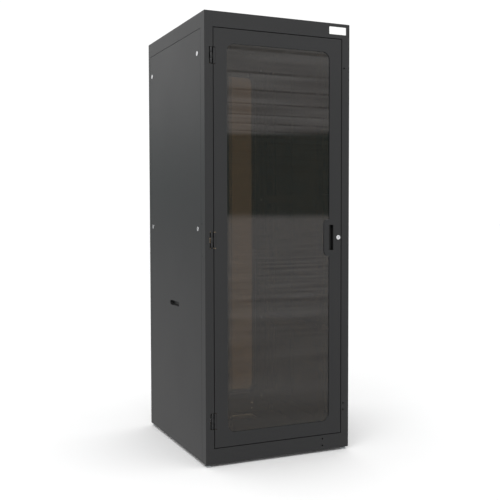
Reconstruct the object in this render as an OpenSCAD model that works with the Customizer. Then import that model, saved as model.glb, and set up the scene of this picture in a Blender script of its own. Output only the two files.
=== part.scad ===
// Floor-standing network rack cabinet. A welded surround at the front and one at the rear are tied
// by side rails. Glazed doors hang in both, the side panels pull off, and 19-inch rails stand on
// side channels.
// X runs across the front, Y from front to rear and Z up. The origin lies on the floor under the middle.

/* [Cabinet] */
// Width over the frame
cabinet_w = 762; // [635:1:920]
// Depth over the frame
cabinet_d = 856; // [710:1:1100]
// Height of the casing without its feet, roof sheet included
casing_h = 2090; // [1700:1:2510]
// Sheet thickness of the posts, headers, sills and rails
frame_t = 2; // [1.5:0.1:3]
// Width of a post seen from the front
post_face = 41.5; // [38:0.5:60]
// Height of the header above the door, roof sheet included
header_h = 72; // [60:1:110]
// Height of the sill below the door
sill_h = 72; // [60:1:110]
// Width of the front posts' strip beside the side panel
front_strip = 50; // [42:1:70]
// Width of the rear posts' strip beside the side panel
rear_strip = 32; // [26:1:60]

/* [Doors] */
// Clearance all round a door leaf
door_gap = 3.5; // [2:0.1:6]
// Depth of a door leaf's edge
leaf_depth = 24; // [20:1:30]
// Sheet thickness of the doors
leaf_t = 2; // [1.2:0.1:3]
// Steel margin between the front window and the leaf's edge
front_margin = 66; // [58:1:90]
// Steel margin at the sides of the rear window
rear_margin = 102; // [90:1:130]
// Corner radius of the windows
window_r = 38; // [10:1:60]
// Thickness of the glass
glass_t = 5; // [4:0.5:6]
// Width of the finger slot
slot_w = 22; // [18:1:24]
// Height of the finger slot
slot_h = 124; // [100:1:160]
// Distance of the lock's axis from the leaf's edge
lock_inset = 15.4; // [14.5:0.1:20]
// Distance of the outer hinges from the leaf's ends
hinge_inset = 126; // [90:1:200]

/* [Side panels] */
// Sheet thickness of the side panels
panel_t = 1.5; // [1:0.1:2.5]
// Clearance between a side panel and the frame
panel_gap = 1.5; // [1:0.1:3]
// Distance of the latches from the panel's front and rear edges
latch_inset = [39.5, 31.5]; // [30:0.5:60]
// Height of the upper latches below the panel's top
latch_drop = 108; // [80:1:200]
// Length of the hand slot
grip_w = 140; // [100:1:180]
// Height of the hand slot
grip_h = 24; // [20:1:34]

/* [Rack] */
// Depth of the rack rails' faces behind the front and in front of the rear
rail_setback = 55; // [50:1:150]
// Width of a rack rail's side leg
rail_leg = 60; // [40:1:80]
// Side length of the rails' square holes
rail_hole = 9.5; // [9:0.1:10]
// Height of the side channels
channel_h = 40; // [30:1:60]

/* [Feet and roof] */
// Height of the casing above the floor
foot_h = 14; // [12:1:40]
// Diameter of a foot's disc
foot_d = 26; // [20:1:34]
// Distance of the feet from the cabinet's sides
foot_inset = 19; // [17:1:24]
// Thickness of the roof and floor sheets
roof_t = 2; // [1.5:0.1:3]

/* [Hidden] */
$fn = 48;
eps = 0.5;                                  // how far a cut runs past a face
seat = 0.4;                                 // gap where a loose piece lies against its seat
hair = 0.01;                                // lets two faces or two arcs run into each other
half_w = cabinet_w / 2;
half_d = cabinet_d / 2;
base_z = foot_h;                            // underside of the casing
top_z = base_z + casing_h;
frame_top = top_z - roof_t;                 // the roof sheet lies on this
opening_bottom = base_z + sill_h;
opening_top = top_z - header_h;
opening_w = cabinet_w - 2 * post_face;

// bends of the frame's profiles
seal_depth = 4;                             // foam seal between a closed leaf and its stop
stop_depth = leaf_depth + seal_depth;       // front of the flange that a door closes against
stop_w = 8.5;
landing_in = 20;                            // depth of the flange behind a side panel
landing_w = 22;
landing_x = half_w - landing_in - frame_t;  // inner face of that flange
sill_flange = 40;
rail_flange = 30;

// doors
leaf_w = opening_w - 2 * door_gap;
leaf_bottom = opening_bottom + door_gap;
leaf_top = opening_top - door_gap;
leaf_mid = (leaf_bottom + leaf_top) / 2;
leaf_h = leaf_top - leaf_bottom;
window_h = leaf_h - 2 * front_margin;
front_window_w = leaf_w - 2 * front_margin;
rear_window_w = leaf_w - 2 * rear_margin;
glass_lap = 14;                             // how far the glass runs behind the steel
tape_t = 1;
tape_edge = 2;                              // the tape keeps back from the window's edge
glass_v = leaf_t + tape_t;                  // front face of the glass behind the leaf's face
seal_w = 8;
lock_x = leaf_w / 2 - lock_inset;
lock_z = leaf_mid + 4;
slot_x = leaf_w / 2 - front_margin + 1 + slot_w / 2;
slot_r = 3;
tab_w = 29;                                 // steel tab that widens the stile at the slot
tab_h = 178;
tab_r = 22;
pocket_wall = 2;
pocket_w = slot_w + 19;
pocket_h = slot_h + 20;
pocket_depth = 38;
notch_gap = 10;                             // room between the pocket and the cut-out in the glass
pocket_clear = 6;                           // room between that cut-out and a retainer's end
retainer_t = 1.5;
retainer_foot = 14;
retainer_lap = 10;
retainer_end = 30;                          // from the glass's corner to a retainer's end
stud_r = 2;
stud_fit = 0.1;
stud_pitch = 280;
stud_end = 15;
stud_nut_r = 3.6;
stud_nut_h = 3;

// cylinder locks and quarter-turn latches
flange_r = 11;
flange_h = 2;
barrel_r = 9.5;
barrel_fit = 0.1;
nut_r = 13;
nut_h = 5;
plug_r = 6;
plug_fit = 0.06;
plug_sink = 0.2;
keyway = [0.7, 4];                          // half its width, and its depth
cam_t = 3;
cam_w = 16;
cam_gap = 2;                                // between a cam and the flange that it turns behind
door_cam_l = 34;
panel_cam_l = 29;
door_barrel_l = stop_depth;
panel_barrel_l = landing_in + frame_t;

// hinges: the axis lies just behind the faces of the post and the leaf
hinge_u = post_face - 7.5;
hinge_v = 4.5;
knuckle_r = 6;
pin_r = 2.5;
pin_fit = 0.05;
pin_head = [4.5, 2];
hinge_h = 72;
door_knuckle_h = 25.2;
knuckle_gap = 0.4;
leaf_plate_t = 3;
hinge_block_edge = 6;                       // the post's block keeps back from edge and knuckles
hinge_block_l = 23;                         // length of the leaf's block behind the sheet
pad_gap = 0.5;
notch_h = 77;
notch_depth = 13;
post_notch = 18.7;                          // the notch's width in the post
door_notch = 9.5;                           // and in the leaf
hinge_zs = [leaf_bottom + hinge_inset, leaf_mid, leaf_top - hinge_inset];

// side panels
panel_front = front_strip + panel_gap;
panel_rear = rear_strip + panel_gap;
panel_bottom = base_z + 1;
panel_top = opening_top - 2;
panel_depth = landing_in - seat;
panel_mid_y = (panel_front - panel_rear) / 2;
grip_z = base_z + 712;
grip_depth = 20;
grip_wall = 2;
grip_rim = [8, 10];                         // the cup's flange beyond the slot
latch_zs = [leaf_mid + 51, panel_top - latch_drop];
latch_ys = [-half_d + panel_front + latch_inset[0], half_d - panel_rear - latch_inset[1]];
rib_w = 30;
rib_h = 11.5;
rib_foot = 12;
rib_t = 1.2;
rib_end = 50;
rib_offset = 187;
tongue_w = 30;
tongue_t = 3;
tongue_l = 34.5;
tongue_z = base_z + 14;
tongue_ys = [-half_d + panel_front + 98, half_d - panel_rear - 98];
tongue_fit = 0.4;

// rack rails and channels
unit_h = 44.45;
unit_holes = [6.35, 22.225, 38.1];
rack_clear = 450.8;                         // clear width between the rails
rail_hole_x = 465.12 / 2;
rail_outer_x = 262;
rail_end = 10;
rail_z0 = opening_bottom + rail_end;
rail_z1 = opening_top - rail_end;
rack_units = floor((rail_z1 - rail_z0 - 40) / unit_h);
first_unit_z = (rail_z0 + rail_z1 - rack_units * unit_h) / 2;
channel_end = 2;
channel_zs = [rail_z0 + 8, grip_z - 166, latch_zs[0] + 130, rail_z1 - 8 - channel_h];
bolt_r = 3;
bolt_fit = 0.3;
bolt_head_r = 6;
bolt_head_h = 3.5;
bolt_nut_r = 5.8;
bolt_nut_h = 4;

// floor, roof and feet
plate_gap = 0.5;
plate_edge = stop_depth + frame_t + plate_gap;
corner_clear = [post_face + plate_gap, max(front_strip, rear_strip)];
corner_plate_t = 5;
stem_r = 5;
stem_fit = 0.2;
stem_top = 45;
foot_disc_h = 9;
foot_chamfer = 1;
foot_cone_h = 2;
lock_nut_r = 8.5;
lock_nut_gap = 0.3;
roof_edge = 1.5;
vent = [160, 6];
vent_pitch = [190, 14];
vent_count = [3, 16];
vent_y = -165;                               // middle of the vents
roof_cable = [320, 90];
floor_cable = [420, 120];
cable_r = 12;
roof_cable_y = 60;                          // middle of the opening in the roof
floor_cable_y = half_d - 110;               // and of the one in the floor
trim_t = 2;
trim_lap = 6;
trim_seat = 0.1;
anchor_r = 7;
anchor_spacing = [480, 560];
roof_bolt_inset = 11;
roof_bolt_sink = 0.2;

// small holes in the frame, and the label
sill_holes_x = half_w - 147;
sill_hole_r = 4;
sill_hole_zs = [base_z + 20.4, base_z + 54];
spare_hole_u = 30;
spare_hole_dz = [-12, 20];
rivet_hole_r = 2.5;
rivet_hole_v = 37.5;
rivet_hole_dz = 74.5;
label = [92, 1, 36];
label_edge = [21, 17];

paint = "#3b3b3c";
paint_light = "#474748";
zinc = "#c9ccd0";
rubber = "#161616";
plastic = "#1a1a1a";
smoked = [0.2, 0.17, 0.14, 0.5];

// ---- bent sheet: a path of bends becomes a strip with its metal on the path's right, or left if t < 0

function unit(v) = v / norm(v);
function left_of(v) = [-v[1], v[0]];
function normal_at(p, i) = left_of(unit(p[i + 1] - p[i]));
function bend(p, i, t) =
    let (a = normal_at(p, max(i - 1, 0)), b = normal_at(p, min(i, len(p) - 2)))
    p[i] - t * (a + b) / (1 + a * b);
function strip(p, t) = concat(p, [for (i = [len(p) - 1:-1:0]) bend(p, i, t)]);

module along_x(x0, l) translate([x0, 0, 0]) rotate([90, 0, 90]) linear_extrude(l) children();
module along_y(y0, l) translate([0, y0 + l, 0]) rotate([90, 0, 0]) linear_extrude(l) children();
module along_z(z0, l) translate([0, 0, z0]) linear_extrude(l) children();
module box(a, b) translate(a) cube(b - a);
module to_right() mirror([1, 0, 0]) children();
module to_rear() mirror([0, 1, 0]) children();
module both_sides() {
    children();
    to_right() children();
}
module both_ends() {
    children();
    to_rear() children();
}
module pin_y(r, y0, y1) translate([0, y0, 0]) rotate([-90, 0, 0]) cylinder(r = r, h = y1 - y0);
module pin_x(r, x0, x1) translate([x0, 0, 0]) rotate([0, 90, 0]) cylinder(r = r, h = x1 - x0);

module rounded(size, r) {
    square([size[0] - 2 * r, size[1]], center = true);
    square([size[0], size[1] - 2 * r], center = true);
    for (sx = [-1, 1], sz = [-1, 1])
        translate([sx * (size[0] / 2 - r), sz * (size[1] / 2 - r)]) circle(r);
}

// ---- welded frame

// The plan of a left front post: the door's stop, the face, the strip beside the panel, and its landing.
function post_path(strip_w) = [
    [post_face + stop_w, stop_depth], [post_face, stop_depth], [post_face, 0], [0, 0], [0, strip_w],
    [landing_in, strip_w], [landing_in, strip_w + landing_w]];

module post_bar(strip_w)
    translate([-half_w, -half_d]) along_z(base_z, frame_top - base_z)
        polygon(strip(post_path(strip_w), frame_t));

module post_channel_holes(strip_w)
    for (z = channel_zs)
        translate([0, -half_d + strip_w + landing_w / 2, z + channel_h / 2])
            pin_x(bolt_r + bolt_fit, -half_w + landing_in - eps, -landing_x + eps);

module post_hinge_notches()
    for (z = hinge_zs)
        box([-half_w + post_face - post_notch, -half_d - eps, z - notch_h / 2],
            [-half_w + post_face + eps, -half_d + notch_depth, z + notch_h / 2]);

// Spare fixing holes: a pair low on the lock post and a single one near its top.
module spare_post_holes()
    for (z = [hinge_zs[0] + spare_hole_dz[0], hinge_zs[0] + spare_hole_dz[1], hinge_zs[2] + spare_hole_dz[0]])
        translate([-half_w + spare_hole_u, 0, z])
            pin_y(sill_hole_r, -half_d - eps, -half_d + frame_t + eps);

module rivet_holes()
    for (s = [-1, 1])
        translate([0, -half_d + rivet_hole_v, hinge_zs[1] + s * rivet_hole_dz])
            pin_x(rivet_hole_r, -half_w - eps, -half_w + frame_t + eps);

module hinge_post(strip_w) color(paint) difference() {
    post_bar(strip_w);
    post_channel_holes(strip_w);
    post_hinge_notches();
    if (strip_w > rivet_hole_v + rivet_hole_r + frame_t) rivet_holes();
}

module lock_post(strip_w) color(paint) difference() {
    post_bar(strip_w);
    post_channel_holes(strip_w);
    spare_post_holes();
}

// The stop flanges of the posts run through, so the headers and sills are cut back round them.
module clear_of_post_stops()
    both_sides()
        box([-opening_w / 2 - eps, -half_d + stop_depth, base_z],
            [-opening_w / 2 + stop_w, -half_d + stop_depth + 2 * frame_t, top_z]);

module header() color(paint) difference() {
    translate([0, -half_d, 0]) along_x(-opening_w / 2, opening_w) polygon(strip([
        [stop_depth, opening_top - stop_w], [stop_depth, opening_top], [0, opening_top],
        [0, frame_top], [landing_in, frame_top]], frame_t));
    clear_of_post_stops();
    header_bolt_holes();
}

module sill() color(paint) difference() {
    translate([0, -half_d, 0]) along_x(-opening_w / 2, opening_w) polygon(strip([
        [sill_flange, base_z], [0, base_z], [0, opening_bottom],
        [stop_depth, opening_bottom], [stop_depth, opening_bottom + stop_w]], frame_t));
    clear_of_post_stops();
    for (z = sill_hole_zs)
        translate([sill_holes_x, 0, z]) pin_y(sill_hole_r, -half_d - eps, -half_d + frame_t + eps);
}

module top_side_rail() difference() {
    translate([-half_w, 0, 0]) along_y(-half_d + front_strip, cabinet_d - front_strip - rear_strip)
        polygon(strip([
            [landing_in, frame_top], [0, frame_top], [0, opening_top], [landing_in, opening_top],
            [landing_in, opening_top - landing_w]], -frame_t));
    for (y = [[-half_d, front_strip + landing_w], [half_d, -rear_strip - landing_w]])
        box([-landing_x - frame_t, min(y[0], y[0] + y[1]), base_z],
            [-landing_x + eps, max(y[0], y[0] + y[1]), opening_top + frame_t + eps]);
    roof_side_bolt_holes();
}

module bottom_side_rail() difference() {
    translate([-half_w, 0, 0])
        along_y(-half_d + front_strip + landing_w, cabinet_d - front_strip - rear_strip - 2 * landing_w)
            polygon(strip([
                [landing_in, opening_bottom], [landing_in, base_z],
                [landing_in + rail_flange, base_z]], -frame_t));
    for (y = tongue_ys)
        box([-half_w + landing_in - eps, y - tongue_w / 2 - 1, tongue_z - tongue_fit],
            [-landing_x + eps, y + tongue_w / 2 + 1, tongue_z + tongue_t + 2]);
}

module corner_foot_plate(strip_w) difference() {
    box([-half_w + frame_t, -half_d + frame_t, base_z],
        [-half_w + post_face - frame_t, -half_d + strip_w - frame_t, base_z + corner_plate_t]);
    translate([-half_w + foot_inset, -half_d + foot_inset, base_z - eps])
        cylinder(r = stem_r + stem_fit, h = corner_plate_t + 2 * eps);
}

module corner_foot_plates() color(paint) both_sides() {
    corner_foot_plate(front_strip);
    to_rear() corner_foot_plate(rear_strip);
}

// ---- roof and floor

function header_bolt_xs() = [-opening_w / 3, 0, opening_w / 3];
function side_bolt_ys() = [-half_d / 3, half_d / 3];

module header_bolt_holes()
    for (x = header_bolt_xs())
        translate([x, -half_d + roof_bolt_inset, frame_top - frame_t - eps])
            cylinder(r = bolt_r + bolt_fit, h = frame_t + 2 * eps);

module roof_side_bolt_holes()
    for (y = side_bolt_ys())
        translate([-half_w + roof_bolt_inset, y, frame_top - frame_t - eps])
            cylinder(r = bolt_r + bolt_fit, h = frame_t + 2 * eps);

module cable_slot(size, y, z, t, grow = 0)
    translate([0, y, z]) linear_extrude(t)
        rounded(size + [grow, grow], cable_r + grow / 2);

module roof_panel() color(paint) difference() {
    box([-half_w + roof_edge, -half_d + roof_edge, frame_top],
        [half_w - roof_edge, half_d - roof_edge, top_z]);
    for (i = [0:vent_count[0] - 1], j = [0:vent_count[1] - 1])
        translate([(i - (vent_count[0] - 1) / 2) * vent_pitch[0],
                   vent_y + (j - (vent_count[1] - 1) / 2) * vent_pitch[1], frame_top - eps])
            linear_extrude(roof_t + 2 * eps) rounded(vent, vent[1] / 2 - hair);
    cable_slot(roof_cable, roof_cable_y, frame_top - eps, roof_t + 2 * eps);
    both_ends() for (x = header_bolt_xs())
        translate([x, -half_d + roof_bolt_inset, frame_top - eps])
            cylinder(r = bolt_r + bolt_fit, h = roof_t + 2 * eps);
    both_sides() for (y = side_bolt_ys())
        translate([-half_w + roof_bolt_inset, y, frame_top - eps])
            cylinder(r = bolt_r + bolt_fit, h = roof_t + 2 * eps);
}

floor_z = base_z + frame_t;

module floor_plate() color(paint) difference() {
    box([-landing_x, -half_d + plate_edge, floor_z], [landing_x, half_d - plate_edge, floor_z + roof_t]);
    both_sides() both_ends()
        box([-half_w, -half_d, floor_z - eps],
            [-half_w + corner_clear[0], -half_d + corner_clear[1], floor_z + roof_t + eps]);
    cable_slot(floor_cable, floor_cable_y, floor_z - eps, roof_t + 2 * eps);
    for (sx = [-1, 1], sy = [-1, 1])
        translate([sx * anchor_spacing[0] / 2, sy * anchor_spacing[1] / 2, floor_z - eps])
            cylinder(r = anchor_r, h = roof_t + 2 * eps);
}

// A rubber channel pushed over the raw edge of a cable opening.
module edge_trim(size, y, z) difference() {
    cable_slot(size, y, z - trim_t, roof_t + 2 * trim_t, 2 * trim_lap);
    cable_slot(size, y, z - trim_t - eps, roof_t + 2 * trim_t + 2 * eps, -2 * trim_t);
    cable_slot(size, y, z, roof_t, 4 * trim_lap);
}

module cable_edge_trim(size, y, z) {
    edge_trim(size, y, z);
    difference() {
        cable_slot(size, y, z - trim_seat, roof_t + 2 * trim_seat);
        cable_slot(size, y, z - eps, roof_t + 2 * eps, -2 * trim_t);
    }
}

module cable_edge_trims() color(rubber) {
    cable_edge_trim(roof_cable, roof_cable_y, frame_top);
    cable_edge_trim(floor_cable, floor_cable_y, floor_z);
}

// ---- rack rails, channels and bolts

module side_channels() color(paint_light) both_sides() for (z = channel_zs) difference() {
    along_y(-half_d + front_strip + channel_end, cabinet_d - front_strip - rear_strip - 2 * channel_end)
        polygon(strip([
            [-landing_x, z], [-landing_x, z + channel_h],
            [-rail_outer_x, z + channel_h], [-rail_outer_x, z]], frame_t));
    translate([0, 0, z + channel_h / 2]) {
        for (y = [-half_d + front_strip + landing_w / 2, half_d - rear_strip - landing_w / 2])
            translate([0, y, 0])
                pin_x(bolt_r + bolt_fit, -landing_x - eps, -landing_x + frame_t + eps);
        for (s = [-1, 1])
            translate([0, s * (half_d - rail_setback - rail_leg / 2), 0])
                pin_x(bolt_r + bolt_fit, -rail_outer_x - frame_t - eps, -rail_outer_x + eps);
    }
}

module rack_rail() color(paint_light) difference() {
    translate([0, -half_d, 0]) along_z(rail_z0, rail_z1 - rail_z0) polygon(strip([
        [-rack_clear / 2, rail_setback], [-rail_outer_x, rail_setback],
        [-rail_outer_x, rail_setback + rail_leg]], frame_t));
    for (u = [0:rack_units - 1], h = unit_holes)
        translate([-rail_hole_x, -half_d + rail_setback + frame_t / 2, first_unit_z + u * unit_h + h])
            cube([rail_hole, frame_t + 2 * eps, rail_hole], center = true);
    for (z = channel_zs)
        translate([0, -half_d + rail_setback + rail_leg / 2, z + channel_h / 2])
            pin_x(bolt_r + bolt_fit, -rail_outer_x - eps, -rail_outer_x + frame_t + eps);
}

// A bolt and its nut through two sheets; the head is at the origin and the shank runs along X.
module bolt(grip) {
    pin_x(bolt_r, -bolt_head_h, grip + bolt_nut_h);
    pin_x(bolt_head_r, -bolt_head_h, 0);
    translate([grip, 0, 0]) rotate([0, 90, 0]) cylinder(r = bolt_nut_r, h = bolt_nut_h, $fn = 6);
}

module roof_bolt() translate([0, 0, frame_top - frame_t]) {
    translate([0, 0, -bolt_head_h]) cylinder(r = bolt_head_r, h = bolt_head_h);
    cylinder(r = bolt_r, h = frame_t + roof_t - roof_bolt_sink);
}

module frame_bolts() color(zinc) {
    both_sides() for (z = channel_zs) {
        for (y = [-half_d + front_strip + landing_w / 2, half_d - rear_strip - landing_w / 2])
            translate([-landing_x - frame_t, y, z + channel_h / 2]) bolt(2 * frame_t);
        for (s = [-1, 1])
            translate([-rail_outer_x + frame_t, s * (half_d - rail_setback - rail_leg / 2),
                       z + channel_h / 2]) to_right() bolt(2 * frame_t);
    }
    both_ends() for (x = header_bolt_xs()) translate([x, -half_d + roof_bolt_inset, 0]) roof_bolt();
    both_sides() for (y = side_bolt_ys()) translate([-half_w + roof_bolt_inset, y, 0]) roof_bolt();
}

// ---- door furniture on the frame

module door_seal() translate([0, -half_d + leaf_depth + seat, (opening_bottom + opening_top) / 2])
    along_y(0, stop_depth - leaf_depth - seat) difference() {
        square([opening_w, opening_top - opening_bottom], center = true);
        square([opening_w - 2 * seal_w, opening_top - opening_bottom - 2 * seal_w], center = true);
    }

module knuckle(z0, h) difference() {
    translate([0, 0, z0]) cylinder(r = knuckle_r, h = h);
    translate([0, 0, z0 - eps]) cylinder(r = pin_r + pin_fit, h = h + 2 * eps);
}

// Knuckles and plate of the post's half, with its origin on the hinge's axis.
frame_knuckle_h = (hinge_h - door_knuckle_h) / 2 - knuckle_gap;
module frame_hinge_leaf() {
    plate_v = knuckle_r - leaf_plate_t;
    block_x = -hinge_u + hinge_block_edge;
    block_w = hinge_u - knuckle_r - 2 * hinge_block_edge;
    for (s = [0, 1]) mirror([0, 0, s]) {
        knuckle(hinge_h / 2 - frame_knuckle_h, frame_knuckle_h);
        difference() {
            box([block_x + block_w - eps, plate_v, hinge_h / 2 - frame_knuckle_h],
                [0, knuckle_r, hinge_h / 2]);
            cylinder(r = pin_r + pin_fit, h = hinge_h);
        }
    }
    box([block_x, frame_t - hinge_v, -hinge_h / 2], [block_x + block_w, knuckle_r, hinge_h / 2]);
}

// The leaf's half: one knuckle between the post's two, a plate, a block behind the sheet, and a flush pad.
module door_hinge_leaf() {
    plate_v = knuckle_r - leaf_plate_t;
    pad_x = post_face + door_gap - 1 - hinge_u;
    pad_end = post_face + door_gap + door_notch - pad_gap - hinge_u;
    block_end = pad_end + hinge_block_l;
    knuckle(-door_knuckle_h / 2, door_knuckle_h);
    difference() {
        box([0, plate_v, -door_knuckle_h / 2], [pad_end, knuckle_r, door_knuckle_h / 2]);
        translate([0, 0, -hinge_h / 2]) cylinder(r = pin_r + pin_fit, h = hinge_h);
    }
    box([pad_x, pad_gap - hinge_v, -hinge_h / 2], [pad_end, knuckle_r, hinge_h / 2]);
    box([pad_end - hair, leaf_t - hinge_v, -hinge_h / 2], [block_end, knuckle_r, hinge_h / 2]);
}

module hinge_pin() {
    translate([0, 0, -hinge_h / 2]) cylinder(r = pin_r, h = hinge_h);
    translate([0, 0, hinge_h / 2]) cylinder(r = pin_head[0], h = pin_head[1]);
}

module at_hinges() for (z = hinge_zs) translate([-half_w + hinge_u, -half_d + hinge_v, z]) children();

module blank_label() color("white")
    translate([half_w - label_edge[0] - label[0], -half_d - label[1], top_z - label_edge[1] - label[2]])
        cube(label);

// ---- doors, drawn as the front one

module window(w, tab, grow = 0) difference() {
    rounded([w + 2 * grow, window_h + 2 * grow], window_r + grow);
    if (tab)
        translate([w / 2 - tab_w / 2 + tab_r, lock_z - leaf_mid])
            rounded([tab_w + 2 * tab_r - 2 * grow, tab_h - 2 * grow], tab_r - grow);
}

module glass_outline(w, tab) difference() {
    square([w + 2 * glass_lap, window_h + 2 * glass_lap], center = true);
    if (tab)
        translate([slot_x - pocket_w / 2 - notch_gap, lock_z - leaf_mid - pocket_h / 2 - notch_gap])
            square([w, pocket_h + 2 * notch_gap]);
}

module leaf_plane(v, t) translate([0, 0, leaf_mid]) along_y(-half_d + v, t) children();

module door_leaf(w, tab) color(paint) difference() {
    union() {
        leaf_plane(0, leaf_t) square([leaf_w, leaf_h], center = true);
        leaf_plane(0, leaf_depth) difference() {
            square([leaf_w, leaf_h], center = true);
            square([leaf_w - 2 * leaf_t, leaf_h - 2 * leaf_t], center = true);
        }
    }
    leaf_plane(-eps, leaf_t + 2 * eps) window(w, tab);
    leaf_plane(-eps, leaf_t + 2 * eps) translate([slot_x, lock_z - leaf_mid])
        rounded([slot_w, slot_h], slot_r);
    translate([lock_x, 0, lock_z]) pin_y(barrel_r + barrel_fit, -half_d - eps, -half_d + leaf_t + eps);
    for (z = hinge_zs)
        box([-leaf_w / 2 - eps, -half_d - eps, z - notch_h / 2],
            [-leaf_w / 2 + door_notch, -half_d + notch_depth, z + notch_h / 2]);
}

module door_glass(w, tab) color(smoked) leaf_plane(glass_v, glass_t) glass_outline(w, tab);

module glazing_tape(w, tab) color(rubber) leaf_plane(leaf_t, tape_t) difference() {
    glass_outline(w, tab);
    window(w, tab, tape_edge);
}

// Z-section from its foot on the leaf to its lap over the glass, with e the glass's edge.
function retainer_path(e) = [
    [e + 2 + retainer_foot, leaf_t], [e + 2, leaf_t], [e + 2, glass_v + glass_t],
    [e - retainer_lap, glass_v + glass_t]];

module retainer_stud() {
    pin_y(stud_r, leaf_t, glass_v + glass_t);
    translate([0, leaf_t + retainer_t, 0]) rotate([-90, 0, 0])
        cylinder(r = stud_nut_r, h = stud_nut_h, $fn = 6);
}

module retainer_bar(l) {
    count = max(2, round(l / stud_pitch) + 1);
    zs = [for (i = [0:count - 1]) stud_end + i * (l - 2 * stud_end) / (count - 1)];
    foot_x = 2 + retainer_t + (retainer_foot - retainer_t) / 2;
    difference() {
        linear_extrude(l) polygon(strip(retainer_path(0), retainer_t));
        for (z = zs) translate([foot_x, 0, z])
            pin_y(stud_r + stud_fit, leaf_t - eps, leaf_t + retainer_t + eps);
    }
    for (z = zs) translate([foot_x, 0, z]) retainer_stud();
}

module glass_retainers(w) color(zinc) {
    edge_x = w / 2 + glass_lap;
    meets_pocket = edge_x + 2 + retainer_foot > slot_x - pocket_w / 2 - seat;
    edge_z = window_h / 2 + glass_lap;
    side_l = 2 * (edge_z - retainer_end);
    pocket_room = pocket_h / 2 + notch_gap + pocket_clear;
    dz = lock_z - leaf_mid;
    translate([0, -half_d, leaf_mid]) {
        to_right() translate([edge_x, 0, -side_l / 2]) retainer_bar(side_l);
        if (meets_pocket) {
            translate([edge_x, 0, -side_l / 2]) retainer_bar(side_l / 2 + dz - pocket_room);
            translate([edge_x, 0, dz + pocket_room]) retainer_bar(side_l / 2 - dz - pocket_room);
        } else {
            translate([edge_x, 0, -side_l / 2]) retainer_bar(side_l);
        }
        for (s = [0, 1]) mirror([0, 0, s])
            translate([-edge_x + retainer_end, 0, edge_z]) rotate([0, 90, 0]) mirror([1, 0, 0])
                retainer_bar(2 * (edge_x - retainer_end));
    }
}

module pull_pocket() color(plastic) translate([slot_x, -half_d + leaf_t, lock_z]) difference() {
    box([-pocket_w / 2, 0, -pocket_h / 2], [pocket_w / 2, pocket_depth, pocket_h / 2]);
    box([-pocket_w / 2 + pocket_wall, -eps, -pocket_h / 2 + pocket_wall],
        [pocket_w / 2 - pocket_wall, pocket_depth - pocket_wall, pocket_h / 2 - pocket_wall]);
}

// Lock or latch on the Y axis with the sheet's face at the origin: housing, and the plug with its cam.
module cylinder_housing(sheet_t, barrel_l) {
    difference() {
        union() {
            pin_y(flange_r, -flange_h, 0);
            pin_y(barrel_r, -eps, barrel_l);
        }
        pin_y(plug_r + plug_fit, -flange_h - eps, barrel_l + eps);
    }
    difference() {
        translate([0, sheet_t, 0]) rotate([-90, 30, 0]) cylinder(r = nut_r, h = nut_h, $fn = 6);
        pin_y(barrel_r + barrel_fit / 2, 0, sheet_t + nut_h + eps);
    }
}

module cylinder_plug(cam_v, cam_l) {
    difference() {
        pin_y(plug_r, -flange_h + plug_sink, cam_v + cam_t);
        box([-keyway[0], -flange_h - eps, -keyway[1]], [keyway[0], keyway[1], keyway[1]]);
    }
    difference() {
        union() {
            pin_y(cam_w / 2 + 1, cam_v, cam_v + cam_t);
            box([-cam_w / 2, cam_v, -cam_l], [cam_w / 2, cam_v + cam_t, 0]);
        }
        pin_y(plug_r - hair, cam_v - eps, cam_v + cam_t + eps);
    }
    pin_y(plug_r - 1, cam_v + cam_t - eps, cam_v + 2 * cam_t);
}

door_cam_v = stop_depth + frame_t + cam_gap;
module door_lock_housing() color(zinc) translate([lock_x, -half_d, lock_z])
    cylinder_housing(leaf_t, door_barrel_l);
module door_lock_plug() color(zinc) translate([lock_x, -half_d, lock_z])
    cylinder_plug(door_cam_v, door_cam_l);

// ---- side panel, drawn as the left one

panel_cam_v = landing_in + frame_t + cam_gap;
module at_latch(y, z) translate([-half_w, y, z]) rotate([0, 0, -90]) children();

module side_panel() color(paint) difference() {
    box([-half_w, -half_d + panel_front, panel_bottom],
        [-half_w + panel_depth, half_d - panel_rear, panel_top]);
    box([-half_w + panel_t, -half_d + panel_front + panel_t, panel_bottom + panel_t],
        [-half_w + panel_depth + eps, half_d - panel_rear - panel_t, panel_top - panel_t]);
    for (y = latch_ys, z = latch_zs)
        translate([0, y, z]) pin_x(barrel_r + barrel_fit, -half_w - eps, -half_w + panel_t + eps);
    translate([-half_w - eps, panel_mid_y, grip_z]) rotate([90, 0, 90])
        linear_extrude(panel_t + 2 * eps) rounded([grip_w, grip_h], grip_h / 2 - hair);
}

// Hat-section ribs bonded to the sheet, and the tongues that locate the panel's foot in the bottom rail.
module panel_ribs() color(paint_light) {
    x0 = -half_w + panel_t;
    for (s = [-1, 1]) translate([0, panel_mid_y + s * rib_offset - rib_w / 2, 0])
        along_z(panel_bottom + rib_end, panel_top - panel_bottom - 2 * rib_end) polygon(strip([
            [x0, -rib_foot], [x0, 0], [x0 + rib_h, 0], [x0 + rib_h, rib_w], [x0, rib_w],
            [x0, rib_w + rib_foot]], rib_t));
    for (y = tongue_ys)
        box([x0, y - tongue_w / 2, tongue_z], [x0 + tongue_l, y + tongue_w / 2, tongue_z + tongue_t]);
}

module panel_grip() color(plastic) translate([-half_w + panel_t, panel_mid_y, grip_z]) {
    outer = [grip_depth - panel_t, grip_w / 2 + grip_rim[0], grip_h / 2 + grip_rim[1]];
    difference() {
        box([0, -outer[1], -outer[2]], outer);
        box([-eps, -outer[1] + grip_wall, -outer[2] + grip_wall],
            [outer[0] - grip_wall, outer[1] - grip_wall, outer[2] - grip_wall]);
    }
    along_y(-outer[1] + grip_wall, 2 * (outer[1] - grip_wall)) polygon([
        [0, -outer[2] + grip_wall], [0, -grip_h / 2], [outer[0] - grip_wall, 2],
        [outer[0] - grip_wall, -outer[2] + grip_wall]]);
}

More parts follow.
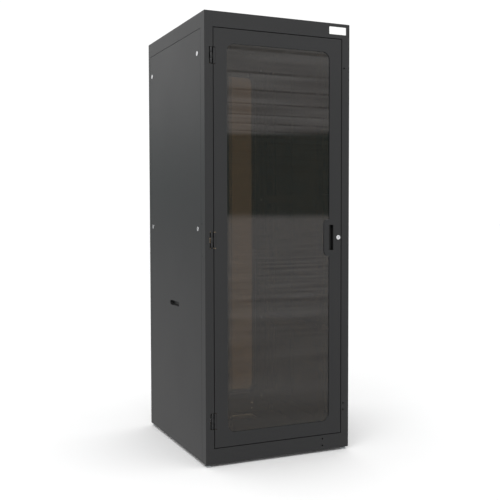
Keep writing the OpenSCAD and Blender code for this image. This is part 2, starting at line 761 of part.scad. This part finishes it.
module latch_housings() color(zinc)
    for (y = latch_ys, z = latch_zs) at_latch(y, z) cylinder_housing(panel_t, panel_barrel_l);

// Plugs 1 and 2 are the front pair from the bottom up, 3 and 4 the rear pair.
module latch_plug(i) color(zinc)
    at_latch(latch_ys[floor(i / 2)], latch_zs[i % 2]) cylinder_plug(panel_cam_v, panel_cam_l);

// ---- levelling foot, drawn as the front left one

module foot() color(zinc) translate([-half_w + foot_inset, -half_d + foot_inset, 0]) {
    cylinder(r1 = foot_d / 2 - foot_chamfer, r2 = foot_d / 2, h = foot_chamfer);
    translate([0, 0, foot_chamfer])
        cylinder(r = foot_d / 2, h = foot_disc_h - foot_chamfer - foot_cone_h);
    translate([0, 0, foot_disc_h - foot_cone_h])
        cylinder(r1 = foot_d / 2, r2 = lock_nut_r, h = foot_cone_h);
    cylinder(r = stem_r, h = stem_top);
    translate([0, 0, foot_disc_h - eps])
        cylinder(r = lock_nut_r, h = foot_h - lock_nut_gap - foot_disc_h + eps, $fn = 6);
}

// ---- nodes

hinge_post(front_strip);  // front_left_post
to_right() lock_post(front_strip);  // front_right_post
to_rear() hinge_post(rear_strip);  // rear_left_post
to_right() to_rear() lock_post(rear_strip);  // rear_right_post
header();  // front_header
to_rear() header();  // rear_header
sill();  // front_sill
to_rear() sill();  // rear_sill
color(paint) both_sides() top_side_rail();  // top_side_rails
color(paint) both_sides() bottom_side_rail();  // bottom_side_rails
corner_foot_plates();
roof_panel();
floor_plate();
cable_edge_trims();
side_channels();
rack_rail();  // front_left_rack_rail
to_right() rack_rail();  // front_right_rack_rail
to_rear() rack_rail();  // rear_left_rack_rail
to_right() to_rear() rack_rail();  // rear_right_rack_rail
frame_bolts();
color(rubber) both_ends() door_seal();  // door_seals
color(paint) both_ends() at_hinges() frame_hinge_leaf();  // frame_hinge_leaves
color(zinc) both_ends() at_hinges() hinge_pin();  // hinge_pins
blank_label();

door_leaf(front_window_w, true);  // front_door_leaf
door_glass(front_window_w, true);  // front_door_glass
glazing_tape(front_window_w, true);  // front_glazing_tape
glass_retainers(front_window_w);  // front_glass_retainers
pull_pocket();  // front_pull_pocket
door_lock_housing();  // front_lock_housing
color(paint) at_hinges() door_hinge_leaf();  // front_hinge_leaves
door_lock_plug();  // front_lock_plug

to_rear() door_leaf(rear_window_w, false);  // rear_door_leaf
to_rear() door_glass(rear_window_w, false);  // rear_door_glass
to_rear() glazing_tape(rear_window_w, false);  // rear_glazing_tape
to_rear() glass_retainers(rear_window_w);  // rear_glass_retainers
to_rear() pull_pocket();  // rear_pull_pocket
to_rear() door_lock_housing();  // rear_lock_housing
to_rear() color(paint) at_hinges() door_hinge_leaf();  // rear_hinge_leaves
to_rear() door_lock_plug();  // rear_lock_plug

side_panel();  // left_side_panel
panel_ribs();  // left_panel_ribs
panel_grip();  // left_panel_grip
latch_housings();  // left_latch_housings
latch_plug(0);  // left_latch_plug_1
latch_plug(1);  // left_latch_plug_2
latch_plug(2);  // left_latch_plug_3
latch_plug(3);  // left_latch_plug_4

to_right() side_panel();  // right_side_panel
to_right() panel_ribs();  // right_panel_ribs
to_right() panel_grip();  // right_panel_grip
to_right() latch_housings();  // right_latch_housings
to_right() latch_plug(0);  // right_latch_plug_1
to_right() latch_plug(1);  // right_latch_plug_2
to_right() latch_plug(2);  // right_latch_plug_3
to_right() latch_plug(3);  // right_latch_plug_4

foot();  // foot_front_left
to_right() foot();  // foot_front_right
to_rear() foot();  // foot_rear_left
to_right() to_rear() foot();  // foot_rear_right
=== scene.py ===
import math

import bmesh
import bpy
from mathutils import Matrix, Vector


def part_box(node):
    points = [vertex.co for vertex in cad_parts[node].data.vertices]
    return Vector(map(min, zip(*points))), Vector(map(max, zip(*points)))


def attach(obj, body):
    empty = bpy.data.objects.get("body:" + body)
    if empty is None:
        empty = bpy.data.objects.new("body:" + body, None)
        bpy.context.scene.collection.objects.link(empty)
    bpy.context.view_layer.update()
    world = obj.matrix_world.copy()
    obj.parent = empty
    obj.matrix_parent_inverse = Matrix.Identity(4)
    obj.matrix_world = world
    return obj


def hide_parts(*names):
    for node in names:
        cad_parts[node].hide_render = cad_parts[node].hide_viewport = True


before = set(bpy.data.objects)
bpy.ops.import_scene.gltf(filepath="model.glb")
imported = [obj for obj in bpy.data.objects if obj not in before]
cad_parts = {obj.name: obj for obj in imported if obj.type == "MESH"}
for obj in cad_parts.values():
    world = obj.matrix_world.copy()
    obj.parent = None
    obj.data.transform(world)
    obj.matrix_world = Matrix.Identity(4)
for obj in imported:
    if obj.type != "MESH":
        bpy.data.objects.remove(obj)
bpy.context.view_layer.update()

# ---- Camera
# A standing eye about 4.3 m away, a little left of the cabinet's front, looking almost level.
# A 58 mm lens on a full frame takes in the whole casing with little perspective.
bpy.ops.object.camera_add(
    location=(-1.7024, -3.898, 1.1837),
    rotation=(math.radians(87.385), math.radians(0.114), math.radians(-24.03)),
)
camera = bpy.context.object
camera.name = "camera"
camera.data.sensor_width = 36
camera.data.lens = 58.31
bpy.context.scene.camera = camera
bpy.context.scene.view_settings.view_transform = "Standard"


# ---- Studio
# A pale painted floor under a bright dome. The dome is toned like a lit hall, so that glass and paint have
# something to mirror: a dark far wall at eye level, beams across the ceiling, a floor that is shaded towards
# the back, and soft streaks over all of it. The lens itself sees plain white past the floor.
def linear(colour):
    """An sRGB hex colour such as "3a3a3b" as linear red, green, blue and alpha."""
    channels = [int(colour[i : i + 2], 16) / 255 for i in (0, 2, 4)]
    return [c / 12.92 if c <= 0.04045 else ((c + 0.055) / 1.055) ** 2.4 for c in channels] + [1.0]


def add_node(tree, kind, inputs=None, **settings):
    """Adds a node, sets its properties, and gives each named socket a value or a link."""
    node = tree.nodes.new(kind)
    for name, value in settings.items():
        setattr(node, name, value)
    for socket, value in (inputs or {}).items():
        if isinstance(value, bpy.types.NodeSocket):
            tree.links.new(value, node.inputs[socket])
        else:
            node.inputs[socket].default_value = value
    return node


def new_material(name):
    """An empty node material with its shader, and the place on the piece in metres."""
    material = bpy.data.materials.new(name)
    material.use_nodes = True
    tree = material.node_tree
    place = add_node(tree, "ShaderNodeTexCoord").outputs["Object"]
    return material, tree, tree.nodes["Principled BSDF"], place


def studio_floor():
    # painted plywood: plain, pale and without gloss, its paint a touch uneven from one stretch to the next
    mottle_width = 0.8
    floor_width = 160
    material, tree, shader, place = new_material("matt_painted_floor")
    mottle = add_node(tree, "ShaderNodeTexNoise", {"Vector": place, "Scale": 1 / mottle_width})
    tone = add_node(
        tree,
        "ShaderNodeMix",
        {0: mottle.outputs["Fac"], 6: linear("f6f6f6"), 7: linear("f9f9f9")},
        data_type="RGBA",
    )
    tree.links.new(tone.outputs[2], shader.inputs["Base Color"])
    shader.inputs["Roughness"].default_value = 0.9
    shader.inputs["Specular IOR Level"].default_value = 0.1
    bpy.ops.mesh.primitive_plane_add(size=floor_width, location=(0, 0, 0))
    floor = bpy.context.object
    floor.name = "studio_floor"
    floor.data.materials.append(material)
    # polished faces mirror the lower half of the dome, which is toned like the floor of a real hall
    floor.visible_glossy = False


def studio_dome():
    world = bpy.data.worlds.new("white_dome")
    world.use_nodes = True
    bpy.context.scene.world = world
    tree = world.node_tree
    direction = add_node(tree, "ShaderNodeTexCoord").outputs["Generated"]
    parts = add_node(tree, "ShaderNodeSeparateXYZ", {"Vector": direction})
    height = parts.outputs["Z"]

    # the hall's tones from straight down (-1) to straight up (1): its floor, its far wall and its ceiling
    brightest = 1.4
    far_wall = (0.195, 0.262, 0.26)
    tones = (
        (-1.0, (0.6, 0.6, 0.6)),
        (-0.3, (0.62, 0.62, 0.62)),
        (-0.18, (0.71, 0.71, 0.71)),
        (-0.08, (0.96, 0.96, 0.96)),
        (-0.002, (1.0, 1.0, 1.0)),
        (0.0, far_wall),
        (0.094, far_wall),
        (0.098, (1.02, 1.02, 1.02)),
        (0.3, (1.0, 1.0, 1.0)),
        (1.0, (brightest, brightest, brightest)),
    )
    level = add_node(tree, "ShaderNodeMapRange", {"Value": height, "From Min": -1.0, "From Max": 1.0})
    steps = add_node(tree, "ShaderNodeValToRGB", {"Fac": level.outputs["Result"]})
    ramp = steps.color_ramp
    for up, tone in tones:
        along = (up + 1) / 2
        stop = ramp.elements[0] if up == -1.0 else ramp.elements.new(along)
        stop.position = along
        stop.color = [channel / brightest for channel in tone] + [1]
    # a new ramp comes with a last stop of its own
    ramp.elements.remove(ramp.elements[-1])

    # streaks that run across, on a ceiling and a floor as far up and down as each other
    streak_scale = (0.7, 2.0, 1.0)
    flat = add_node(tree, "ShaderNodeCombineXYZ", {0: height, 1: height, 2: height})
    plane = add_node(tree, "ShaderNodeVectorMath", {0: direction, 1: flat.outputs[0]}, operation="DIVIDE")
    stretch = add_node(tree, "ShaderNodeMapping", {"Vector": plane.outputs[0], "Scale": streak_scale})
    noise = add_node(tree, "ShaderNodeTexNoise", {"Vector": stretch.outputs[0], "Scale": 1.0, "Detail": 2.0})
    streaks = add_node(
        tree,
        "ShaderNodeMapRange",
        {"Value": noise.outputs["Fac"], "From Min": 0.32, "From Max": 0.68, "To Min": 0.72, "To Max": 1.24},
    )

    # dark beams cross the ceiling; their pitch, start, half width and soft edge are shares of its height
    beam_pitch = 0.75
    beam_start = 4.56
    beam_half_width = 0.03
    beam_soft_edge = 0.06
    beam_tone = 0.55
    across = add_node(tree, "ShaderNodeSeparateXYZ", {"Vector": plane.outputs[0]})
    shifted = add_node(tree, "ShaderNodeMath", {0: across.outputs["Y"], 1: beam_start}, operation="ADD")
    beside = add_node(
        tree,
        "ShaderNodeMath",
        {0: shifted.outputs[0], 1: beam_pitch / 2},
        operation="PINGPONG",
    )
    beams = add_node(
        tree,
        "ShaderNodeMapRange",
        {
            "Value": beside.outputs[0],
            "From Min": beam_half_width,
            "From Max": beam_soft_edge,
            "To Min": beam_tone,
            "To Max": 1.0,
        },
    )

    # the floor behind the cabinet is in shade, the more so the farther away it is
    shade_near = 0.98
    shade_far = 0.45
    rear_shade = add_node(
        tree,
        "ShaderNodeMapRange",
        {"Value": height, "From Min": -0.26, "From Max": -0.02, "To Min": shade_near, "To Max": shade_far},
    )
    shaded = add_node(
        tree,
        "ShaderNodeMapRange",
        {
            "Value": parts.outputs["Y"],
            "From Min": -0.9,
            "From Max": 0.9,
            "To Min": 1.0,
            "To Max": rear_shade.outputs["Result"],
        },
    )

    # the lower half takes the shade, the upper half the beams, and both take the streaks
    below = add_node(tree, "ShaderNodeMath", {0: height, 1: 0.0}, operation="LESS_THAN")
    depth = add_node(
        tree,
        "ShaderNodeMix",
        {0: below.outputs[0], 2: beams.outputs["Result"], 3: shaded.outputs["Result"]},
    )
    strength = add_node(
        tree,
        "ShaderNodeMath",
        {0: streaks.outputs["Result"], 1: depth.outputs[0]},
        operation="MULTIPLY",
    )
    power = add_node(tree, "ShaderNodeMath", {0: strength.outputs[0], 1: brightest}, operation="MULTIPLY")
    lamp = add_node(
        tree,
        "ShaderNodeBackground",
        {"Color": steps.outputs["Color"], "Strength": power.outputs[0]},
    )

    # what is seen straight, or through the glass, is an even white
    backdrop_strength = 1.05
    backdrop = add_node(
        tree,
        "ShaderNodeBackground",
        {"Color": linear("ffffff"), "Strength": backdrop_strength},
    )
    path = add_node(tree, "ShaderNodeLightPath")
    seen = add_node(
        tree,
        "ShaderNodeMath",
        {0: path.outputs["Is Camera Ray"], 1: path.outputs["Is Transmission Ray"]},
        operation="MAXIMUM",
    )
    light = add_node(
        tree,
        "ShaderNodeMixShader",
        {0: seen.outputs[0], 1: lamp.outputs[0], 2: backdrop.outputs[0]},
    )
    tree.links.new(light.outputs[0], tree.nodes["World Output"].inputs["Surface"])


def key_softbox():
    # one big diffused lamp, high at the front left, that doesn't show in the picture itself
    place = (-2.6, -3.2, 4.2)
    aim = (0, 0, 0.9)
    width = 2.5
    watts = 60
    bpy.ops.object.light_add(type="AREA", location=place)
    lamp = bpy.context.object
    lamp.name = "key_softbox"
    lamp.data.shape = "RECTANGLE"
    lamp.data.size = width
    lamp.data.size_y = width
    lamp.data.energy = watts
    reach = [a - b for a, b in zip(aim, place)]
    flat = math.hypot(reach[0], reach[1])
    lamp.rotation_euler = (math.atan2(flat, -reach[2]), 0, math.atan2(-reach[0], reach[1]))
    lamp.visible_camera = False


studio_floor()
studio_dome()
key_softbox()


# ---- Powder-coated sheet steel: frame, doors, panels, roof, floor, rails, channels and hinges
# Sheet of 1.5 to 2 mm is cut, folded and welded, then sprayed with near-black polyester powder and baked.
# The coat is even and half matt, with a faint orange peel, and rounds every fold and cut edge.
def powder_coated_steel():
    # the tone drifts a little every 350 mm or so, and the peel's cells are about 1.5 mm across
    drift_width = 0.35
    peel_width = 0.0015
    material, tree, shader, place = new_material("powder_coated_steel")
    drift = add_node(tree, "ShaderNodeTexNoise", {"Vector": place, "Scale": 1 / drift_width, "Detail": 3.0})
    peel = add_node(tree, "ShaderNodeTexNoise", {"Vector": place, "Scale": 1 / peel_width, "Detail": 2.0})
    tone = add_node(
        tree,
        "ShaderNodeMix",
        {0: drift.outputs["Fac"], 6: linear("1a1a1b"), 7: linear("1e1e1f")},
        data_type="RGBA",
    )
    sheen = add_node(
        tree,
        "ShaderNodeMapRange",
        {"Value": drift.outputs["Fac"], "To Min": 0.39, "To Max": 0.46},
    )
    bump = add_node(
        tree,
        "ShaderNodeBump",
        {"Height": peel.outputs["Fac"], "Strength": 0.12, "Distance": 0.0002},
    )
    tree.links.new(tone.outputs[2], shader.inputs["Base Color"])
    tree.links.new(sheen.outputs["Result"], shader.inputs["Roughness"])
    tree.links.new(bump.outputs["Normal"], shader.inputs["Normal"])
    return material


def finish(node, material, fold=0.0):
    """Gives a CAD node its material, and rounds its sharp edges to a radius in metres."""
    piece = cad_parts[node]
    piece.data.materials.clear()
    piece.data.materials.append(material)
    if fold:
        weld = piece.modifiers.new("weld", "WELD")
        weld.merge_threshold = 1e-5
        flats = piece.modifiers.new("flats", "DECIMATE")
        flats.decimate_type = "DISSOLVE"
        flats.angle_limit = math.radians(0.5)
        bevel = piece.modifiers.new("fold", "BEVEL")
        bevel.width = fold
        bevel.segments = 2
        bevel.limit_method = "ANGLE"
        bevel.angle_limit = math.radians(40)
        bevel.harden_normals = True


coat = powder_coated_steel()
outer_fold = 0.0008
inner_edge = 0.0003
hinge_edge = 0.0004
for node in (
    "front_left_post", "front_right_post", "rear_left_post", "rear_right_post",
    "front_header", "rear_header", "front_sill", "rear_sill", "top_side_rails", "bottom_side_rails",
    "front_door_leaf", "rear_door_leaf", "left_side_panel", "right_side_panel",
):
    finish(node, coat, outer_fold)
for node in (
    "corner_foot_plates", "roof_panel", "floor_plate", "side_channels", "left_panel_ribs", "right_panel_ribs",
    "front_left_rack_rail", "front_right_rack_rail", "rear_left_rack_rail", "rear_right_rack_rail",
):
    finish(node, coat, inner_edge)
for node in ("frame_hinge_leaves", "front_hinge_leaves", "rear_hinge_leaves", "hinge_pins"):
    finish(node, coat, hinge_edge)


# ---- Door glass
# Bronze-tinted toughened float glass, 5 mm, bedded on tape behind each window. It mirrors the studio on its
# flat face, and lets through about a seventh of the light, warm brown. Wiping leaves faint dull patches.
def bronze_glass():
    wipe_width = 0.09
    material, tree, shader, place = new_material("bronze_float_glass")
    wiped = add_node(tree, "ShaderNodeTexNoise", {"Vector": place, "Scale": 1 / wipe_width, "Detail": 2.0})
    gloss = add_node(
        tree,
        "ShaderNodeMapRange",
        {"Value": wiped.outputs["Fac"], "From Min": 0.4, "From Max": 0.75, "To Min": 0.0, "To Max": 0.05},
    )
    tree.links.new(gloss.outputs["Result"], shader.inputs["Roughness"])
    shader.inputs["Base Color"].default_value = linear("736552")
    shader.inputs["Transmission Weight"].default_value = 1.0
    # a little above plain float glass's 1.52, for the strong mirror of so dark a pane
    shader.inputs["IOR"].default_value = 1.6
    return material


glass = bronze_glass()
for node in ("front_door_glass", "rear_door_glass"):
    finish(node, glass)


# ---- Seals, tape and edge trims
# Black foam rubber seals line the door stops, acrylic foam tape beds the glass, and a rubber profile is
# pushed over the raw edges of the cable openings. They drink the light, with a fine pored skin.
def black_rubber():
    # pores of 0.6 mm, as coarse as they need to be to show, under a bloom in patches of 60 mm
    pore_width = 0.0006
    bloom_width = 0.06
    material, tree, shader, place = new_material("black_foam_rubber")
    pores = add_node(tree, "ShaderNodeTexVoronoi", {"Vector": place, "Scale": 1 / pore_width})
    bump = add_node(
        tree,
        "ShaderNodeBump",
        {"Height": pores.outputs["Distance"], "Strength": 0.3, "Distance": 0.0002},
    )
    bloom = add_node(tree, "ShaderNodeTexNoise", {"Vector": place, "Scale": 1 / bloom_width})
    tone = add_node(
        tree,
        "ShaderNodeMix",
        {0: bloom.outputs["Fac"], 6: linear("101010"), 7: linear("1a1a1a")},
        data_type="RGBA",
    )
    tree.links.new(tone.outputs[2], shader.inputs["Base Color"])
    tree.links.new(bump.outputs["Normal"], shader.inputs["Normal"])
    shader.inputs["Roughness"].default_value = 0.8
    return material


rubber = black_rubber()
trim_edge = 0.0008
for node in ("front_glazing_tape", "rear_glazing_tape"):
    finish(node, rubber)
finish("cable_edge_trims", rubber, trim_edge)


def deselect_all():
    for thing in bpy.context.selected_objects:
        thing.select_set(False)


def pick(kind, wanted):
    """In edit mode, selects only the faces, edges or verts for which wanted(element) is true."""
    bpy.ops.mesh.select_mode(type=kind)
    bpy.ops.mesh.select_all(action="DESELECT")
    mesh = bmesh.from_edit_mesh(bpy.context.object.data)
    elements = {"VERT": mesh.verts, "EDGE": mesh.edges, "FACE": mesh.faces}[kind]
    for element in elements:
        if wanted(element):
            element.select = True
    mesh.select_flush_mode()
    bmesh.update_edit_mesh(bpy.context.object.data)


def hand_over(piece, name, material, body, node):
    """Closes a modelled piece: its place goes into its mesh, and it stands for the node on its body."""
    bpy.ops.object.mode_set(mode="OBJECT")
    bpy.ops.object.transform_apply(location=True, rotation=True, scale=True)
    bpy.ops.object.shade_smooth_by_angle(angle=math.radians(35))
    piece.name = name
    piece.data.materials.clear()
    piece.data.materials.append(material)
    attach(piece, body)
    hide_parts(node)


def foam_seal(name, end):
    """A strip round the stop at the front (end -1) or rear (end 1), its outer face crowned like a D."""
    strip_width = 0.008
    thickness = 0.0036
    crown = 0.0026
    hair = 1e-5
    low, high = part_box("door_seals")
    face = low[1] if end < 0 else high[1]
    deselect_all()
    bpy.ops.mesh.primitive_plane_add(
        size=1,
        location=(0, face - end * thickness, (low[2] + high[2]) / 2),
        rotation=(math.radians(90), 0, 0),
    )
    piece = bpy.context.object
    piece.scale = (high[0] - low[0], high[2] - low[2], 1)
    bpy.ops.object.transform_apply(location=True, rotation=True, scale=True)
    bpy.ops.object.mode_set(mode="EDIT")
    # only the ring round the inset is left of the sheet, and it is drawn out to the seal's thickness
    bpy.ops.mesh.select_all(action="SELECT")
    bpy.ops.mesh.inset(thickness=strip_width)
    bpy.ops.mesh.delete(type="FACE")
    bpy.ops.mesh.select_all(action="SELECT")
    bpy.ops.mesh.extrude_region_move(TRANSFORM_OT_translate={"value": (0, end * thickness, 0)})
    bpy.ops.mesh.select_all(action="SELECT")
    bpy.ops.mesh.normals_make_consistent(inside=False)

    def rim_of_outer_face(edge):
        on_face = all(abs(vert.co.y - face) < hair for vert in edge.verts)
        if not on_face or len(edge.link_faces) != 2:
            return False
        # the normals differ by 1 along y where the outer face meets a side, and by 0 within the face
        return abs(edge.link_faces[0].normal.y - edge.link_faces[1].normal.y) > 0.5

    pick("EDGE", rim_of_outer_face)
    bpy.ops.mesh.bevel(offset=crown, segments=4, clamp_overlap=True)
    hand_over(piece, name, rubber, "cabinet", "door_seals")


foam_seal("front_foam_seal", -1)
foam_seal("rear_foam_seal", 1)


# ---- Pull pockets and hand-slot cups
# Cups of black ABS, with walls of 2 mm, stuck behind the doors' finger slots and the side panels' hand slots.
# They are moulded in a spark-eroded tool, which leaves a fine even grain that hands slowly polish.
def moulded_abs():
    spark_width = 0.0008
    handling_width = 0.03
    material, tree, shader, place = new_material("black_spark_textured_abs")
    spark = add_node(tree, "ShaderNodeTexNoise", {"Vector": place, "Scale": 1 / spark_width, "Detail": 2.0})
    bump = add_node(
        tree,
        "ShaderNodeBump",
        {"Height": spark.outputs["Fac"], "Strength": 0.25, "Distance": 0.0002},
    )
    handling = add_node(tree, "ShaderNodeTexNoise", {"Vector": place, "Scale": 1 / handling_width})
    gloss = add_node(
        tree,
        "ShaderNodeMapRange",
        {"Value": handling.outputs["Fac"], "To Min": 0.42, "To Max": 0.6},
    )
    tree.links.new(bump.outputs["Normal"], shader.inputs["Normal"])
    tree.links.new(gloss.outputs["Result"], shader.inputs["Roughness"])
    shader.inputs["Base Color"].default_value = linear("242424")
    return material


# a face looks along an axis where its normal's share on that axis passes this
square_on = 0.9


def block_in_box(node):
    """A plain block that fills the node's box, in edit mode, ready to be shaped."""
    low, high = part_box(node)
    deselect_all()
    bpy.ops.mesh.primitive_cube_add(size=1, location=[(a + b) / 2 for a, b in zip(low, high)])
    piece = bpy.context.object
    piece.scale = [b - a for a, b in zip(low, high)]
    bpy.ops.object.transform_apply(location=True, rotation=True, scale=True)
    bpy.ops.object.mode_set(mode="EDIT")
    return piece


def moulded_cup(name, node, body, axis, mouth, ramp=0.0):
    """A cup that fills the node's box, open towards mouth (-1 or 1) along axis 0 or 1."""
    wall = 0.002
    corner_radius = 0.008
    back_radius = 0.004
    inner_radius = 0.003
    low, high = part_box(node)
    depth = high[axis] - low[axis] - wall
    piece = block_in_box(node)
    # corners along the depth, then the closed end
    pick("EDGE", lambda edge: abs(edge.verts[0].co[axis] - edge.verts[1].co[axis]) > wall)
    bpy.ops.mesh.bevel(offset=corner_radius, segments=5)
    pick("FACE", lambda face: face.normal[axis] * mouth < -square_on)
    bpy.ops.mesh.bevel(offset=back_radius, segments=4)
    # the hollow
    pick("FACE", lambda face: face.normal[axis] * mouth > square_on)
    bpy.ops.mesh.inset(thickness=wall)
    inward = [0.0, 0.0, 0.0]
    inward[axis] = -mouth * depth
    bpy.ops.mesh.extrude_region_move(TRANSFORM_OT_translate={"value": inward})
    bpy.ops.mesh.bevel(offset=inner_radius, segments=3)
    if ramp:
        # the floor of a hand slot's cup rises towards the back, so that the fingers hook over the edge
        rim = high[axis] if mouth > 0 else low[axis]
        middle = (low[2] + high[2]) / 2
        # the outer skin is what lies less than this deep from the cup's side, bottom and closed end
        side_skin = 0.0019
        bottom_skin = 0.0015
        end_skin = wall - 0.0005
        ramp_start = depth * 0.7

        def back_of_inner_floor(vert):
            inset = abs(vert.co[axis] - rim)
            from_side = min(abs(vert.co.y - low[1]), abs(vert.co.y - high[1]))
            from_bottom = vert.co.z - low[2]
            from_end = depth + wall - inset
            hollow = from_side > side_skin and from_bottom > bottom_skin and from_end > end_skin
            return hollow and inset > ramp_start and vert.co.z < middle

        pick("VERT", back_of_inner_floor)
        bpy.ops.transform.translate(value=(0, 0, ramp))
    hand_over(piece, name, abs_plastic, body, node)


abs_plastic = moulded_abs()
finger_ramp = 0.012
moulded_cup("front_pull_cup", "front_pull_pocket", "front_door", 1, -1)
moulded_cup("rear_pull_cup", "rear_pull_pocket", "rear_door", 1, 1)
moulded_cup("left_hand_slot_cup", "left_panel_grip", "left_panel", 0, -1, finger_ramp)
moulded_cup("right_hand_slot_cup", "right_panel_grip", "right_panel", 0, 1, finger_ramp)


# ---- Locks and latches
# Turned and die-cast zinc, polished and chrome plated, each held through its hole by a nut behind the sheet.
# The plate is bright and nearly white, and fingers leave faint dull marks on it.
def chrome_plate():
    mark_width = 0.004
    material, tree, shader, place = new_material("chrome_plated_zinc")
    marks = add_node(tree, "ShaderNodeTexNoise", {"Vector": place, "Scale": 1 / mark_width, "Detail": 4.0})
    gloss = add_node(
        tree,
        "ShaderNodeMapRange",
        {"Value": marks.outputs["Fac"], "To Min": 0.08, "To Max": 0.2},
    )
    tree.links.new(gloss.outputs["Result"], shader.inputs["Roughness"])
    shader.inputs["Base Color"].default_value = linear("e4e4e6")
    shader.inputs["Metallic"].default_value = 1.0
    return material


chrome = chrome_plate()
housing_edge = 0.0007
plug_edge = 0.0002
for door in ("front", "rear"):
    finish(f"{door}_lock_housing", chrome, housing_edge)
    finish(f"{door}_lock_plug", chrome, plug_edge)
for side in ("left", "right"):
    finish(f"{side}_latch_housings", chrome, housing_edge)
    for number in range(1, 5):
        finish(f"{side}_latch_plug_{number}", chrome, plug_edge)


# ---- Bolts, glass retainers and feet
# Rolled or turned steel with clear zinc plate: pale bluish grey, and lightly spangled in grains of 5 mm.
# Bolts join frame, channels and rails, retainers clamp the glass, and the feet screw into the corners.
def zinc_plate():
    grain_width = 0.005
    material, tree, shader, place = new_material("zinc_plated_steel")
    spangle = add_node(tree, "ShaderNodeTexVoronoi", {"Vector": place, "Scale": 1 / grain_width})
    tone = add_node(
        tree,
        "ShaderNodeMix",
        {0: spangle.outputs["Color"], 6: linear("a3a7aa"), 7: linear("bcbfc1")},
        data_type="RGBA",
    )
    gloss = add_node(
        tree,
        "ShaderNodeMapRange",
        {"Value": spangle.outputs["Distance"], "To Min": 0.28, "To Max": 0.42},
    )
    tree.links.new(tone.outputs[2], shader.inputs["Base Color"])
    tree.links.new(gloss.outputs["Result"], shader.inputs["Roughness"])
    shader.inputs["Metallic"].default_value = 1.0
    return material


zinc = zinc_plate()
retainer_edge = 0.0002
bolt_edge = 0.0005
foot_edge = 0.0004
for node in ("front_glass_retainers", "rear_glass_retainers"):
    finish(node, zinc, retainer_edge)
finish("frame_bolts", zinc, bolt_edge)
for node in ("foot_front_left", "foot_front_right", "foot_rear_left", "foot_rear_right"):
    finish(node, zinc, foot_edge)


# ---- Blank label
# White polyester film with a satin face, cut with round corners and stuck to the header's right end.
# Nothing is printed on it. The film is very slightly cream in patches.
def label_film():
    patch_width = 0.03
    material, tree, shader, place = new_material("white_polyester_film")
    yellowing = add_node(tree, "ShaderNodeTexNoise", {"Vector": place, "Scale": 1 / patch_width})
    tone = add_node(
        tree,
        "ShaderNodeMix",
        {0: yellowing.outputs["Fac"], 6: linear("f4f4f2"), 7: linear("fafafa")},
        data_type="RGBA",
    )
    tree.links.new(tone.outputs[2], shader.inputs["Base Color"])
    shader.inputs["Roughness"].default_value = 0.35
    return material


def round_cornered_label():
    corner_radius = 0.0025
    face_edge = 0.0003
    through = 0.0005
    piece = block_in_box("blank_label")
    # its corners, which run through its thickness, then the rim of its face
    pick("EDGE", lambda edge: abs(edge.verts[0].co.y - edge.verts[1].co.y) > through)
    bpy.ops.mesh.bevel(offset=corner_radius, segments=5)
    pick("FACE", lambda face: face.normal.y < -square_on)
    bpy.ops.mesh.bevel(offset=face_edge, segments=2)
    hand_over(piece, "white_label", label_film(), "cabinet", "blank_label")


round_cornered_label()
